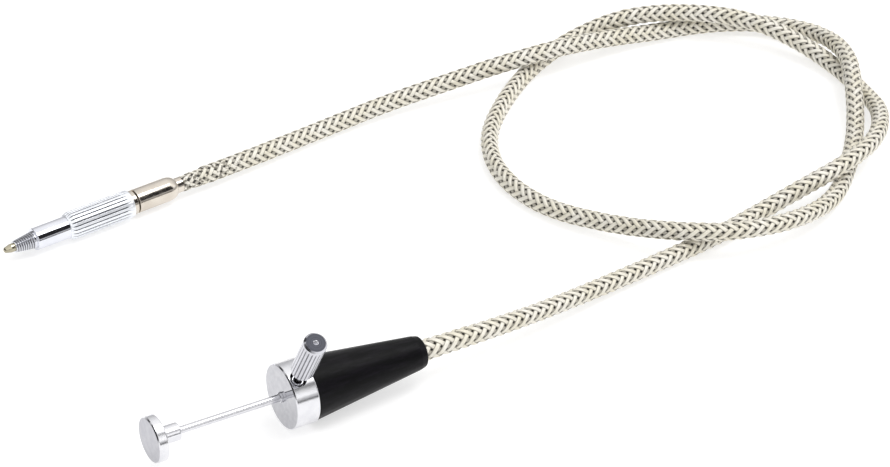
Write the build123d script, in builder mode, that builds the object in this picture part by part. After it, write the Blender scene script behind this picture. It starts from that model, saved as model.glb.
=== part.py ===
"""Locking cable shutter release, millimetres.

A finger button pushes a rod through a round handle.  The rod pushes a wire that runs inside a
braided cable, and the wire pushes a brass pin out of a conical screw tip at the far end.

Frame: +X runs along the handle from the finger button towards the cable, +Z is up and the
surface that everything lies on is z = 0.  The origin is on that surface, under the handle and
halfway along it.
"""
import os
from math import cos, pi, radians, sin, tan

from build123d import *

# ---------------------------------------------------------------- handle, along its own axis
# Stations are distances behind the front face of the head.
HEAD_RADIUS = 7.15
HEAD_THICKNESS = 5.4
HEAD_CHAMFER = 0.3
SPIGOT_RADIUS = 4.2
SPIGOT_END = 11.0
BUTTON_FRONT = -30.4
BUTTON_BACK = -28.1
BUTTON_RADIUS = 5.0
BUTTON_CHAMFER = 0.3
HUB_END = -23.8
HUB_RADIUS = 1.95
ROD_RADIUS = 0.8
ROD_END = 8.9
ROD_SEAT = -28.9
BUSH_NOSE = -0.7
BUSH_NOSE_RADIUS = 1.1
BUSH_STEP = 0.8
BUSH_RADIUS = 1.8
BUSH_END = 4.9
COLLAR_END = 6.9
COLLAR_RADIUS = 1.95
WIRE_SOCKET_START = 7.4
WIRE_SOCKET_END = 11.4
WIRE_SOCKET_RADIUS = 1.15
TUBE_END = 30.0
TUBE_BORE = 2.05
TUBE_RADIUS = 2.6
ANCHOR_START = 27.5
ANCHOR_COUNTERBORE = 28.7
ANCHOR_END = 31.0
ANCHOR_RADIUS = 2.0
CRIMP_START = 30.1
CRIMP_END = 32.2
SLEEVE_WIDE_RADIUS = 6.9
SLEEVE_NARROW_RADIUS = 3.72
SLEEVE_TAPER_END = 31.4
SLEEVE_END = 33.2

# ---------------------------------------------------------------- return spring
SPRING_WIRE_RADIUS = 0.175
SPRING_MEAN_RADIUS = 1.6
SPRING_TURNS = 13

# ---------------------------------------------------------------- lock screw, radial in the head
# Its distances are measured from the handle's axis.
SCREW_STATION = 2.2
SCREW_LEAN = 30.0
SCREW_INNER_END = 3.02
SCREW_THREAD_END = 6.3
SCREW_THREAD_RADIUS = 1.2
SCREW_NECK_RADIUS = 1.0
SCREW_RECESS_START = 5.4
SCREW_RECESS_RADIUS = 1.8
SCREW_HEAD_START = 10.6
SCREW_HEAD_END = 23.3
SCREW_HEAD_RADIUS = 2.5
SCREW_TOP_CHAMFER = 0.5
SCREW_BAND = 1.2
SCREW_FLUTES = 20
PAD_INNER_END = 1.2
PAD_STEP = 2.3
PAD_OUTER_END = 3.0
PAD_TIP_RADIUS = 0.7
PAD_BODY_RADIUS = 1.15

# ---------------------------------------------------------------- cable
BRAID_RADIUS = 2.1
BRAID_BORE = 1.75
LINER_RADIUS = 1.6
LINER_BORE = 1.3
CONDUIT_RADIUS = 1.15
CONDUIT_BORE = 0.6
WIRE_RADIUS = 0.4

# ---------------------------------------------------------------- screw tip, along its own axis
# Stations are distances from the end of the cable towards the point of the pin.
FERRULE_NECK_RADIUS = 1.75
FERRULE_NECK_END = 1.7
FERRULE_RADIUS = 2.75
FERRULE_DOME_END = 3.8
FERRULE_END = 12.05
FERRULE_COUNTERBORE = 6.0
FERRULE_COUNTERBORE_RADIUS = 2.0
SPINDLE_RADIUS = 1.5
SPINDLE_FLANGE_RADIUS = 1.95
SPINDLE_FLANGE_END = 8.0
SPINDLE_BORE = 0.6
SPINDLE_END = 17.0
CLIP_STATION = 15.6
CLIP_THICKNESS = 0.5
CLIP_GROOVE_RADIUS = 1.15
CLIP_RADIUS = 2.05
CLIP_GAP = 1.6
SWIVEL_COLLAR_START = 12.4
RING_START = 13.5
RING_RADIUS = 3.15
RING_CAVITY_START = 15.0
RING_CAVITY_RADIUS = 2.3
RING_FLUTE_START = 14.6
RING_FLUTE_END = 28.6
RING_END = 29.8
RING_FLUTES = 22
BARREL_START = 25.0
BARREL_RADIUS = 2.55
NIPPLE_TAIL_START = 19.0
NIPPLE_TAIL_RADIUS = 2.25
NIPPLE_CAVITY_RADIUS = 1.6
NIPPLE_GUIDE_START = 39.0
SHOULDER = 38.05
THREAD_START = 38.35
THREAD_RUNOUT_RADIUS = 2.0
THREAD_END = 43.0
THREAD_BASE_RADIUS = 1.95
THREAD_TIP_RADIUS = 1.35
THREAD_PITCH = 0.5
THREAD_DEPTH = 0.25
PIN_RADIUS = 0.97
PIN_SPIGOT_START = 19.6
PIN_SPIGOT_RADIUS = 0.7
PIN_BODY_START = 22.5
PIN_TAPER_START = 43.9
PIN_END = 45.5
PIN_NOSE_RADIUS = 0.5
PIN_SOCKET_START = 17.5
PIN_SOCKET_RADIUS = 1.25

RUNNING_CLEARANCE = 0.05

# ---------------------------------------------------------------- where the handle and its axes lie
AXIS_Y = 2.9276
AXIS_Z = HEAD_RADIUS
HEAD_X = -(BUTTON_FRONT + SLEEVE_END) / 2

HANDLE_SECTION = Plane(origin=(HEAD_X, AXIS_Y, AXIS_Z), x_dir=(1, 0, 0), z_dir=(0, -1, 0))
HANDLE_AXIS = Axis((HEAD_X, AXIS_Y, AXIS_Z), (1, 0, 0))

# The cable from the handle's mouth to the tip, with x, y and the height of its centre.  It lies
# one and a half turns round and passes over and under itself five times.
ROUTE = [
    (HEAD_X + ANCHOR_END, AXIS_Y, AXIS_Z),
    (38.0, AXIS_Y, AXIS_Z),
    (51.0, 4.1, 6.1),
    (66.0, 7.0, 4.2),
    (82.0, 10.6, 2.5),
    (98.0, 13.0, 2.1),
    (113.0, 15.2, 2.1),
    (126.0, 17.6, 3.0),
    (138.5, 18.2, 5.6),
    (150.5, 19.8, 7.0),
    (161.8, 25.4, 6.6),
    (170.2, 36.5, 4.6),
    (173.3, 48.0, 2.3),
    (174.2, 61.0, 2.1),
    (170.4, 72.5, 4.4),
    (164.2, 82.5, 6.5),
    (154.0, 91.8, 6.7),
    (140.5, 98.3, 6.4),
    (127.0, 100.2, 3.6),
    (113.5, 96.0, 2.1),
    (100.8, 87.0, 2.1),
    (88.4, 74.6, 2.1),
    (83.0, 59.6, 2.1),
    (85.0, 43.4, 2.1),
    (93.8, 28.5, 3.4),
    (102.4, 15.4, 6.4),
    (113.5, 8.6, 6.7),
    (128.0, 7.6, 5.4),
    (142.5, 13.8, 2.4),
    (153.6, 24.6, 2.1),
    (162.8, 35.6, 2.6),
    (169.7, 47.2, 6.4),
    (176.0, 59.5, 6.6),
    (177.0, 72.8, 4.2),
    (170.9, 84.6, 2.3),
    (159.3, 91.6, 2.1),
    (146.0, 94.4, 2.1),
    (132.0, 95.0, 4.2),
    (118.5, 93.4, 6.6),
    (104.0, 94.2, 6.3),
    (90.0, 96.0, 4.4),
    (75.0, 97.0, 3.0),
    (60.0, 95.8, 2.3),
    (45.5, 93.5, 2.6),
    (31.7, 91.2, 3.15),
    (19.0, 89.9, 3.15),
]
# An arc takes this share of the shorter of the two runs that it joins.
ARC_SHARE = 0.45

cable_end = Vector(*ROUTE[-1])
tip_direction = (cable_end - Vector(*ROUTE[-2])).normalized()
TIP_SECTION = Plane(origin=cable_end, x_dir=tip_direction, z_dir=tip_direction.cross(Vector(0, 0, 1)))
TIP_AXIS = Axis(cable_end, tip_direction)

screw_direction = Vector(0, -sin(radians(SCREW_LEAN)), cos(radians(SCREW_LEAN)))
screw_centre = Vector(HEAD_X + SCREW_STATION, AXIS_Y, AXIS_Z)
SCREW_SECTION = Plane(origin=screw_centre, x_dir=screw_direction, z_dir=screw_direction.cross(Vector(1, 0, 0)))
SCREW_AXIS = Axis(screw_centre, screw_direction)


def half_section(plane, outline):
    """Closed half section of a turned piece: (distance along the axis, radius) pairs."""
    with BuildSketch(plane) as section:
        with BuildLine():
            Polyline(*outline, close=True)
        make_face()
    return section.sketch


def across(axis_plane, station):
    """Plane square to a turned piece's axis at a station."""
    origin = axis_plane.origin + axis_plane.x_dir * station
    return Plane(origin=origin, x_dir=axis_plane.y_dir, z_dir=axis_plane.x_dir)


def route_radii(points):
    """Radius of the arc at each inner point of a route."""
    corners = [Vector(*point) for point in points]
    radii = []
    for before, here, after in zip(corners, corners[1:], corners[2:]):
        run_in = here - before
        run_out = after - here
        half_turn = radians(run_in.get_angle(run_out)) / 2
        radii.append(ARC_SHARE * min(run_in.length, run_out.length) / tan(half_turn))
    return radii


def cable_layer(outer, bore, lead_in=0.0, lead_out=0.0):
    """One layer of the cable, swept along the route, with straight ends past it."""
    start = Vector(*ROUTE[0]) - Vector(lead_in, 0, 0)
    with BuildPart() as layer:
        with BuildLine() as path:
            FilletPolyline(*ROUTE, radius=ARC_RADII)
            if lead_in:
                Line(start, ROUTE[0])
            if lead_out:
                Line(ROUTE[-1], cable_end + tip_direction * lead_out)
        with BuildSketch(Plane(origin=start, x_dir=(0, 1, 0), z_dir=(1, 0, 0))):
            Circle(outer)
            if bore:
                Circle(bore, mode=Mode.SUBTRACT)
        sweep(path=path.wire())
    return layer


ARC_RADII = route_radii(ROUTE)
finished = []

# ================================================================ plunger
with BuildPart() as finger_button:
    revolve(half_section(HANDLE_SECTION, [
        (BUTTON_FRONT, 0),
        (BUTTON_FRONT, BUTTON_RADIUS - BUTTON_CHAMFER),
        (BUTTON_FRONT + BUTTON_CHAMFER, BUTTON_RADIUS),
        (BUTTON_BACK - BUTTON_CHAMFER, BUTTON_RADIUS),
        (BUTTON_BACK, BUTTON_RADIUS - BUTTON_CHAMFER),
        (BUTTON_BACK, HUB_RADIUS),
        (HUB_END - BUTTON_CHAMFER, HUB_RADIUS),
        (HUB_END, HUB_RADIUS - BUTTON_CHAMFER),
        (HUB_END, ROD_RADIUS),
        (ROD_SEAT, ROD_RADIUS),
        (ROD_SEAT, 0),
    ]), axis=HANDLE_AXIS)
finger_button.part.label = "finger_button"
finished.append(finger_button.part)

with BuildPart() as plunger_rod:
    revolve(half_section(HANDLE_SECTION, [
        (ROD_SEAT, 0), (ROD_SEAT, ROD_RADIUS), (ROD_END, ROD_RADIUS), (ROD_END, 0),
    ]), axis=HANDLE_AXIS)
plunger_rod.part.label = "plunger_rod"
finished.append(plunger_rod.part)

# The collar stops the rod against the back of the bush, and the spring pushes on it.
with BuildPart() as stop_collar:
    revolve(half_section(HANDLE_SECTION, [
        (BUSH_END + RUNNING_CLEARANCE, ROD_RADIUS),
        (BUSH_END + RUNNING_CLEARANCE, COLLAR_RADIUS),
        (COLLAR_END, COLLAR_RADIUS),
        (COLLAR_END, ROD_RADIUS),
    ]), axis=HANDLE_AXIS)
stop_collar.part.label = "stop_collar"
finished.append(stop_collar.part)

# Crimped on the rod's end, it takes the end of the inner wire.
with BuildPart() as wire_socket:
    revolve(half_section(HANDLE_SECTION, [
        (WIRE_SOCKET_START, ROD_RADIUS),
        (WIRE_SOCKET_START, WIRE_SOCKET_RADIUS),
        (WIRE_SOCKET_END, WIRE_SOCKET_RADIUS),
        (WIRE_SOCKET_END, WIRE_RADIUS),
        (ROD_END, WIRE_RADIUS),
        (ROD_END, ROD_RADIUS),
    ]), axis=HANDLE_AXIS)
wire_socket.part.label = "wire_socket"
finished.append(wire_socket.part)

# ================================================================ handle
with BuildPart() as head_flange:
    revolve(half_section(HANDLE_SECTION, [
        (0, BUSH_NOSE_RADIUS + RUNNING_CLEARANCE),
        (0, HEAD_RADIUS - HEAD_CHAMFER),
        (HEAD_CHAMFER, HEAD_RADIUS),
        (HEAD_THICKNESS - HEAD_CHAMFER, HEAD_RADIUS),
        (HEAD_THICKNESS, HEAD_RADIUS - HEAD_CHAMFER),
        (HEAD_THICKNESS, SPIGOT_RADIUS),
        (SPIGOT_END, SPIGOT_RADIUS),
        (SPIGOT_END, TUBE_RADIUS + RUNNING_CLEARANCE),
        (BUSH_END, TUBE_RADIUS + RUNNING_CLEARANCE),
        (BUSH_END, BUSH_RADIUS + RUNNING_CLEARANCE),
        (BUSH_STEP, BUSH_RADIUS + RUNNING_CLEARANCE),
        (BUSH_STEP, BUSH_NOSE_RADIUS + RUNNING_CLEARANCE),
    ]), axis=HANDLE_AXIS)
    with BuildSketch(across(SCREW_SECTION, 0)):
        Circle(SCREW_THREAD_RADIUS + RUNNING_CLEARANCE)
    extrude(amount=HEAD_RADIUS + 1, mode=Mode.SUBTRACT)
    with BuildSketch(across(SCREW_SECTION, SCREW_RECESS_START)):
        Circle(SCREW_RECESS_RADIUS)
    extrude(amount=HEAD_RADIUS + 1 - SCREW_RECESS_START, mode=Mode.SUBTRACT)
head_flange.part.label = "head_flange"
finished.append(head_flange.part)

with BuildPart() as guide_bush:
    revolve(half_section(HANDLE_SECTION, [
        (BUSH_NOSE, ROD_RADIUS + RUNNING_CLEARANCE),
        (BUSH_NOSE, BUSH_NOSE_RADIUS - 0.1),
        (BUSH_NOSE + 0.1, BUSH_NOSE_RADIUS),
        (BUSH_STEP, BUSH_NOSE_RADIUS),
        (BUSH_STEP, BUSH_RADIUS),
        (BUSH_END, BUSH_RADIUS),
        (BUSH_END, ROD_RADIUS + RUNNING_CLEARANCE),
    ]), axis=HANDLE_AXIS)
    with BuildSketch(across(SCREW_SECTION, 0)):
        Circle(PAD_TIP_RADIUS + RUNNING_CLEARANCE)
    extrude(amount=BUSH_RADIUS + 1, mode=Mode.SUBTRACT)
guide_bush.part.label = "guide_bush"
finished.append(guide_bush.part)

with BuildPart() as grip_sleeve:
    with BuildSketch(HANDLE_SECTION):
        with BuildLine():
            Polyline(
                (SLEEVE_END, SLEEVE_NARROW_RADIUS - 0.95),
                (SLEEVE_END, TUBE_RADIUS + RUNNING_CLEARANCE),
                (SPIGOT_END + RUNNING_CLEARANCE, TUBE_RADIUS + RUNNING_CLEARANCE),
                (SPIGOT_END + RUNNING_CLEARANCE, SPIGOT_RADIUS + RUNNING_CLEARANCE),
                (HEAD_THICKNESS, SPIGOT_RADIUS + RUNNING_CLEARANCE),
                (HEAD_THICKNESS, SLEEVE_WIDE_RADIUS - 0.2),
                (HEAD_THICKNESS + 0.2, SLEEVE_WIDE_RADIUS),
                (SLEEVE_TAPER_END, SLEEVE_NARROW_RADIUS),
            )
            ThreePointArc(
                (SLEEVE_TAPER_END, SLEEVE_NARROW_RADIUS),
                (SLEEVE_END - 0.45, SLEEVE_NARROW_RADIUS - 0.35),
                (SLEEVE_END, SLEEVE_NARROW_RADIUS - 0.95),
            )
        make_face()
    revolve(axis=HANDLE_AXIS)
grip_sleeve.part.label = "grip_sleeve"
finished.append(grip_sleeve.part)

with BuildPart() as spring_tube:
    revolve(half_section(HANDLE_SECTION, [
        (BUSH_END, TUBE_BORE), (BUSH_END, TUBE_RADIUS), (TUBE_END, TUBE_RADIUS), (TUBE_END, TUBE_BORE),
    ]), axis=HANDLE_AXIS)
spring_tube.part.label = "spring_tube"
finished.append(spring_tube.part)

spring_start = COLLAR_END + SPRING_WIRE_RADIUS + RUNNING_CLEARANCE
spring_length = ANCHOR_START - SPRING_WIRE_RADIUS - RUNNING_CLEARANCE - spring_start
with BuildPart() as return_spring:
    with BuildLine() as coil:
        Helix(
            pitch=spring_length / SPRING_TURNS,
            height=spring_length,
            radius=SPRING_MEAN_RADIUS,
            center=(HEAD_X + spring_start, AXIS_Y, AXIS_Z),
            direction=(1, 0, 0),
        )
    with BuildSketch(Plane(origin=coil.line @ 0, z_dir=coil.line % 0)):
        Circle(SPRING_WIRE_RADIUS)
    sweep(path=coil.line, is_frenet=True)
return_spring.part.label = "return_spring"
finished.append(return_spring.part)

with BuildPart() as cable_anchor:
    revolve(half_section(HANDLE_SECTION, [
        (ANCHOR_START, WIRE_RADIUS + 0.15),
        (ANCHOR_START, ANCHOR_RADIUS),
        (ANCHOR_END, ANCHOR_RADIUS),
        (ANCHOR_END, CONDUIT_RADIUS + RUNNING_CLEARANCE),
        (ANCHOR_COUNTERBORE, CONDUIT_RADIUS + RUNNING_CLEARANCE),
        (ANCHOR_COUNTERBORE, WIRE_RADIUS + 0.15),
    ]), axis=HANDLE_AXIS)
cable_anchor.part.label = "cable_anchor"
finished.append(cable_anchor.part)

with BuildPart() as braid_crimp:
    revolve(half_section(HANDLE_SECTION, [
        (CRIMP_START, BRAID_RADIUS + RUNNING_CLEARANCE),
        (CRIMP_START, TUBE_RADIUS - RUNNING_CLEARANCE),
        (CRIMP_END, TUBE_RADIUS - RUNNING_CLEARANCE),
        (CRIMP_END, BRAID_RADIUS + RUNNING_CLEARANCE),
    ]), axis=HANDLE_AXIS)
braid_crimp.part.label = "braid_crimp"
finished.append(braid_crimp.part)

# ================================================================ lock screw and its pad
with BuildPart() as lock_screw:
    revolve(half_section(SCREW_SECTION, [
        (SCREW_INNER_END, 0),
        (SCREW_INNER_END, SCREW_THREAD_RADIUS),
        (SCREW_THREAD_END, SCREW_THREAD_RADIUS),
        (SCREW_THREAD_END, SCREW_NECK_RADIUS),
        (SCREW_HEAD_START, SCREW_NECK_RADIUS),
        (SCREW_HEAD_START, SCREW_HEAD_RADIUS - 0.35),
        (SCREW_HEAD_START + 0.35, SCREW_HEAD_RADIUS),
        (SCREW_HEAD_END - SCREW_TOP_CHAMFER, SCREW_HEAD_RADIUS),
        (SCREW_HEAD_END, SCREW_HEAD_RADIUS - SCREW_TOP_CHAMFER),
        (SCREW_HEAD_END, 0.5),
        (SCREW_HEAD_END - 0.4, 0),
    ]), axis=SCREW_AXIS)
    with BuildSketch(across(SCREW_SECTION, SCREW_HEAD_START)):
        with PolarLocations(SCREW_HEAD_RADIUS + 0.05, SCREW_FLUTES):
            Rectangle(0.36, 0.36, rotation=45)
    extrude(amount=SCREW_HEAD_END - SCREW_BAND - SCREW_HEAD_START, mode=Mode.SUBTRACT)
lock_screw.part.label = "lock_screw"
finished.append(lock_screw.part)

with BuildPart() as lock_pad:
    revolve(half_section(SCREW_SECTION, [
        (PAD_INNER_END, 0),
        (PAD_INNER_END, PAD_TIP_RADIUS),
        (PAD_STEP, PAD_TIP_RADIUS),
        (PAD_STEP, PAD_BODY_RADIUS),
        (PAD_OUTER_END, PAD_BODY_RADIUS),
        (PAD_OUTER_END, 0),
    ]), axis=SCREW_AXIS)
lock_pad.part.label = "lock_pad"
finished.append(lock_pad.part)

# ================================================================ cable
cable_braid = cable_layer(BRAID_RADIUS, BRAID_BORE)
cable_braid.part.label = "cable_braid"
finished.append(cable_braid.part)

cable_liner = cable_layer(LINER_RADIUS, LINER_BORE)
cable_liner.part.label = "cable_liner"
finished.append(cable_liner.part)

conduit = cable_layer(
    CONDUIT_RADIUS, CONDUIT_BORE,
    lead_in=ANCHOR_END - ANCHOR_COUNTERBORE, lead_out=FERRULE_COUNTERBORE,
)
conduit.part.label = "conduit"
finished.append(conduit.part)

inner_wire = cable_layer(
    WIRE_RADIUS, 0,
    lead_in=ANCHOR_END - ANCHOR_START, lead_out=PIN_SOCKET_START - 0.1,
)
inner_wire.part.label = "inner_wire"
finished.append(inner_wire.part)

# ================================================================ ferrule and swivel
with BuildPart() as ferrule:
    with BuildSketch(TIP_SECTION):
        with BuildLine():
            ThreePointArc(
                (FERRULE_NECK_END, FERRULE_NECK_RADIUS + 0.1),
                (FERRULE_NECK_END + 0.65, FERRULE_RADIUS - 0.3),
                (FERRULE_DOME_END, FERRULE_RADIUS),
            )
            Polyline(
                (FERRULE_DOME_END, FERRULE_RADIUS),
                (FERRULE_END, FERRULE_RADIUS),
                (FERRULE_END, FERRULE_COUNTERBORE_RADIUS),
                (FERRULE_COUNTERBORE, FERRULE_COUNTERBORE_RADIUS),
                (FERRULE_COUNTERBORE, CONDUIT_RADIUS + RUNNING_CLEARANCE),
                (0, CONDUIT_RADIUS + RUNNING_CLEARANCE),
                (0, FERRULE_NECK_RADIUS),
                (FERRULE_NECK_END, FERRULE_NECK_RADIUS),
                (FERRULE_NECK_END, FERRULE_NECK_RADIUS + 0.1),
            )
        make_face()
    revolve(axis=TIP_AXIS)
ferrule.part.label = "ferrule"
finished.append(ferrule.part)

with BuildPart() as swivel_spindle:
    revolve(half_section(TIP_SECTION, [
        (FERRULE_COUNTERBORE, SPINDLE_BORE),
        (FERRULE_COUNTERBORE, SPINDLE_FLANGE_RADIUS),
        (SPINDLE_FLANGE_END, SPINDLE_FLANGE_RADIUS),
        (SPINDLE_FLANGE_END, SPINDLE_RADIUS),
        (CLIP_STATION - RUNNING_CLEARANCE, SPINDLE_RADIUS),
        (CLIP_STATION - RUNNING_CLEARANCE, CLIP_GROOVE_RADIUS),
        (CLIP_STATION + CLIP_THICKNESS + RUNNING_CLEARANCE, CLIP_GROOVE_RADIUS),
        (CLIP_STATION + CLIP_THICKNESS + RUNNING_CLEARANCE, SPINDLE_RADIUS),
        (SPINDLE_END, SPINDLE_RADIUS),
        (SPINDLE_END, SPINDLE_BORE),
    ]), axis=TIP_AXIS)
swivel_spindle.part.label = "swivel_spindle"
finished.append(swivel_spindle.part)

with BuildPart() as spindle_clip:
    with BuildSketch(across(TIP_SECTION, CLIP_STATION)):
        Circle(CLIP_RADIUS)
        Circle(CLIP_GROOVE_RADIUS + 0.05, mode=Mode.SUBTRACT)
        with Locations((CLIP_RADIUS, 0)):
            Rectangle(2 * CLIP_RADIUS, CLIP_GAP, mode=Mode.SUBTRACT)
    extrude(amount=CLIP_THICKNESS)
spindle_clip.part.label = "spindle_clip"
finished.append(spindle_clip.part)

# ================================================================ turning tip
with BuildPart() as swivel_collar:
    revolve(half_section(TIP_SECTION, [
        (SWIVEL_COLLAR_START, SPINDLE_RADIUS + RUNNING_CLEARANCE),
        (SWIVEL_COLLAR_START, FERRULE_RADIUS - 0.15),
        (SWIVEL_COLLAR_START + 0.15, FERRULE_RADIUS),
        (RING_START - 0.1, FERRULE_RADIUS),
        (RING_START, FERRULE_RADIUS - 0.1),
        (RING_START, SPINDLE_RADIUS + RUNNING_CLEARANCE),
    ]), axis=TIP_AXIS)
swivel_collar.part.label = "swivel_collar"
finished.append(swivel_collar.part)

with BuildPart() as knurled_ring:
    revolve(half_section(TIP_SECTION, [
        (RING_START, SPINDLE_RADIUS + RUNNING_CLEARANCE),
        (RING_START, RING_RADIUS - 0.2),
        (RING_START + 0.2, RING_RADIUS),
        (RING_FLUTE_END, RING_RADIUS),
        (RING_END, BARREL_RADIUS + 0.1),
        (RING_END, BARREL_RADIUS + 0.03),
        (BARREL_START, BARREL_RADIUS + 0.03),
        (BARREL_START, RING_CAVITY_RADIUS),
        (RING_CAVITY_START, RING_CAVITY_RADIUS),
        (RING_CAVITY_START, SPINDLE_RADIUS + RUNNING_CLEARANCE),
    ]), axis=TIP_AXIS)
    with BuildSketch(across(TIP_SECTION, RING_FLUTE_START)):
        with PolarLocations(RING_RADIUS + 0.06, RING_FLUTES):
            Rectangle(0.48, 0.48, rotation=45)
    extrude(amount=RING_END - RING_FLUTE_START, mode=Mode.SUBTRACT)
knurled_ring.part.label = "knurled_ring"
finished.append(knurled_ring.part)

# The tapered thread's ridges are closed rings, one for each turn of the real helix.
thread_turns = round((THREAD_END - THREAD_START) / THREAD_PITCH)
thread_pitch = (THREAD_END - THREAD_START) / thread_turns
thread_taper = (THREAD_BASE_RADIUS - THREAD_TIP_RADIUS) / (THREAD_END - THREAD_START)
thread_outline = []
for turn in range(thread_turns):
    root_station = THREAD_START + turn * thread_pitch
    crest_station = root_station + thread_pitch / 2
    root_radius = THREAD_BASE_RADIUS - thread_taper * turn * thread_pitch - THREAD_DEPTH
    thread_outline.append((root_station, root_radius))
    thread_outline.append((crest_station, root_radius + THREAD_DEPTH))

with BuildPart() as threaded_nipple:
    revolve(half_section(TIP_SECTION, [
        (NIPPLE_TAIL_START, NIPPLE_CAVITY_RADIUS),
        (NIPPLE_TAIL_START, NIPPLE_TAIL_RADIUS),
        (BARREL_START, NIPPLE_TAIL_RADIUS),
        (BARREL_START, BARREL_RADIUS),
        (SHOULDER - 0.2, BARREL_RADIUS),
        (SHOULDER, BARREL_RADIUS - 0.2),
        (SHOULDER, THREAD_RUNOUT_RADIUS),
        (THREAD_START, THREAD_RUNOUT_RADIUS),
        *thread_outline,
        (THREAD_END, THREAD_TIP_RADIUS - THREAD_DEPTH),
        (THREAD_END, PIN_RADIUS + RUNNING_CLEARANCE),
        (NIPPLE_GUIDE_START, PIN_RADIUS + RUNNING_CLEARANCE),
        (NIPPLE_GUIDE_START, NIPPLE_CAVITY_RADIUS),
    ]), axis=TIP_AXIS)
threaded_nipple.part.label = "threaded_nipple"
finished.append(threaded_nipple.part)

# ================================================================ release pin
with BuildPart() as push_pin:
    revolve(half_section(TIP_SECTION, [
        (PIN_SPIGOT_START, 0),
        (PIN_SPIGOT_START, PIN_SPIGOT_RADIUS),
        (PIN_BODY_START, PIN_SPIGOT_RADIUS),
        (PIN_BODY_START, PIN_RADIUS),
        (PIN_TAPER_START, PIN_RADIUS),
        (PIN_END - 0.25, PIN_NOSE_RADIUS + 0.15),
        (PIN_END, PIN_NOSE_RADIUS - 0.15),
        (PIN_END, 0),
    ]), axis=TIP_AXIS)
push_pin.part.label = "push_pin"
finished.append(push_pin.part)

with BuildPart() as pin_socket:
    revolve(half_section(TIP_SECTION, [
        (PIN_SOCKET_START, WIRE_RADIUS),
        (PIN_SOCKET_START, PIN_SOCKET_RADIUS),
        (PIN_BODY_START, PIN_SOCKET_RADIUS),
        (PIN_BODY_START, PIN_SPIGOT_RADIUS),
        (PIN_SPIGOT_START, PIN_SPIGOT_RADIUS),
        (PIN_SPIGOT_START, WIRE_RADIUS),
    ]), axis=TIP_AXIS)
pin_socket.part.label = "pin_socket"
finished.append(pin_socket.part)

# ================================================================ write the pieces
os.makedirs("parts", exist_ok=True)
for piece in finished:
    export_step(piece, f"parts/{piece.label}.step")

print("arc radii", " ".join(f"{radius:.1f}" for radius in ARC_RADII))
section = pi * (BRAID_RADIUS ** 2 - BRAID_BORE ** 2)
print(f"braid: volume / section = {cable_braid.part.volume / section:.1f} mm")
print(f"axis y {AXIS_Y:.4f}, head x {HEAD_X:.4f}, tip direction {tip_direction}")
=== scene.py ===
import math

import bmesh
import bpy
import numpy as np
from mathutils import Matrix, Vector


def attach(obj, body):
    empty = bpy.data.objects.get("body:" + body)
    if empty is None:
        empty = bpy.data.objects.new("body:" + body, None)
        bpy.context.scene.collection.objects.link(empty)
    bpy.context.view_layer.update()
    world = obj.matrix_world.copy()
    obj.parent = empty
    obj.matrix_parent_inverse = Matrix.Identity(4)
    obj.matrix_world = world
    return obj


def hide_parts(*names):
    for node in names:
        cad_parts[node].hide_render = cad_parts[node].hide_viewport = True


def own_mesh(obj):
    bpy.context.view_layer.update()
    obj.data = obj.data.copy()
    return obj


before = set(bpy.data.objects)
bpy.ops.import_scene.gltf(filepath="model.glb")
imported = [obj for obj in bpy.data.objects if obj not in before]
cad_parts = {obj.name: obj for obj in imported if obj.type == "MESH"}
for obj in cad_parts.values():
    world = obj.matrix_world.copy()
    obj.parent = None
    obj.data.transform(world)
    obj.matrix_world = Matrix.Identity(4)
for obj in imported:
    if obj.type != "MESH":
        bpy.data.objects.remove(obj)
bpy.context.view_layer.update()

MM = 0.001
SCENE = bpy.context.scene

# ------------------------------------------------------------------ camera
# Placed so that the head's and the button's ellipses come out as they are in the photo.
camera = bpy.data.objects.new("camera", bpy.data.cameras.new("camera"))
SCENE.collection.objects.link(camera)
camera.data.lens = 182.02
camera.data.sensor_width = 36.0
camera.data.clip_start = 0.01
camera.data.clip_end = 50.0
camera.location = (-0.34100, -0.66566, 0.55305)
camera.rotation_mode = "QUATERNION"
camera.rotation_quaternion = Vector((0.408238, 0.721558, -0.559193)).to_track_quat("-Z", "Y")
SCENE.camera = camera
SCENE.view_settings.view_transform = "Standard"

# ------------------------------------------------------------------ handle, in mm
# Stations run along the handle's axis from the head's front face towards the cable.
HEAD_X = -1.4         # the head's front face
AXIS_Y = 2.9276
HEAD_RADIUS = 7.15
AXIS_Z = HEAD_RADIUS  # the head rests on the table
HEAD_THICKNESS = 5.4
FRONT_CHAMFER = 0.28
BUSH_RADIUS = 1.15
BUSH_END = 4.9
SPIGOT_RADIUS = 4.2
SPIGOT_END = 11.0
TUBE_RADIUS = 2.65
BUTTON_FRONT = -30.4
BUTTON_BACK = -28.1
BUTTON_RADIUS = 5.0
HUB_RADIUS = 1.95
HUB_END = -23.8
ROD_RADIUS = 0.8
ROD_END = 8.9
SLEEVE_END = 33.2
SPRING_START = 7.125
SPRING_END = 27.275
SPRING_TURNS = 13
SPRING_RADIUS = 1.6
SPRING_WIRE = 0.17

# ------------------------------------------------------------------ lock screw, in mm
# Stations run outward from the handle's axis, except the screw's own along the handle.
SCREW_STATION = 2.2
SCREW_LEAN = math.radians(30)
HOLE_START = 0.9
HOLE_RADIUS = 1.25
HOLE_END = 9.0
RECESS_START = 5.4
RECESS_RADIUS = 1.8
SCREW_START = 3.02
THUMB_START = 10.6
THUMB_TOP = 23.3
THUMB_RADIUS = 2.5
DIMPLE_RADIUS = 0.5

# ------------------------------------------------------------------ tip, in mm
# Stations run from the end of the cable towards the point of the pin.
FERRULE_RADIUS = 2.75
FERRULE_END = 12.05
COLLAR_START = 12.4
RING_START = 13.5
RING_END = 29.8
RING_RADIUS = 3.15
BARREL_RADIUS = 2.55
SHOULDER = 38.05
THREAD_START = 38.35
THREAD_END = 43.0
THREAD_PITCH = 0.52
PIN_START = 22.5
PIN_END = 45.5
PIN_RADIUS = 0.97

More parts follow.
